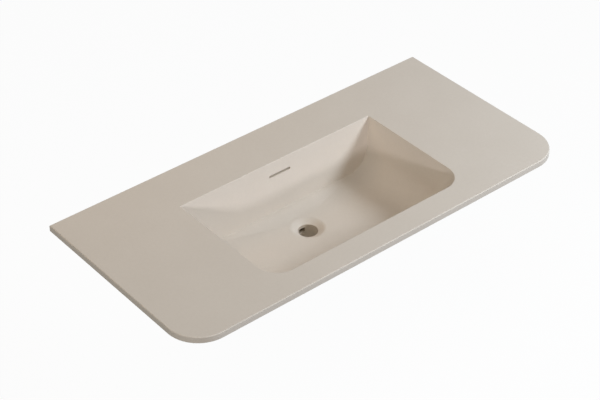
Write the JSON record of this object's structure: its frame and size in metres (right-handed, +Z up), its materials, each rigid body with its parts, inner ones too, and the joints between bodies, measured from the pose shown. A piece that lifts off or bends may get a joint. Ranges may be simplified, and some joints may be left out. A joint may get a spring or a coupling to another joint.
{
  "type": "washbasin",
  "caption": "Wall-hung countertop washbasin: a thin flat deck with a sunken rectangular bowl, an overflow slot in its rear wall and a round waste hole in its floor.",
  "frame": {"origin": "middle of the deck's flat rear edge face, which stands against the wall", "axes": "+X along the wall to the right as the user sees it, +Y out of the back of the deck towards the wall, +Z up"},
  "size_m": [1, 0.48, 0.174],
  "materials": {
    "solid_surface": "matte",
    "underside_sheet": "sawn matte",
    "moulded_plastic": "satin",
    "brass": "turned"
  },
  "bodies": {
    "root": {"deck": "solid_surface", "left_wall": "solid_surface", "right_wall": "solid_surface", "front_wall": "solid_surface", "left_corner": "solid_surface", "right_corner": "solid_surface", "bowl_floor": "solid_surface", "rear_panel": "solid_surface", "drain_cup": "solid_surface", "overflow_cover": "moulded_plastic", "overflow_duct": "moulded_plastic", "front_strip": "underside_sheet", "left_strip": "underside_sheet", "right_strip": "underside_sheet", "rear_left_strip": "underside_sheet", "rear_right_strip": "underside_sheet", "left_batten": "underside_sheet", "right_batten": "underside_sheet", "left_front_insert": "brass", "left_rear_insert": "brass", "right_front_insert": "brass", "right_rear_insert": "brass"}
  },
  "joints": []
}
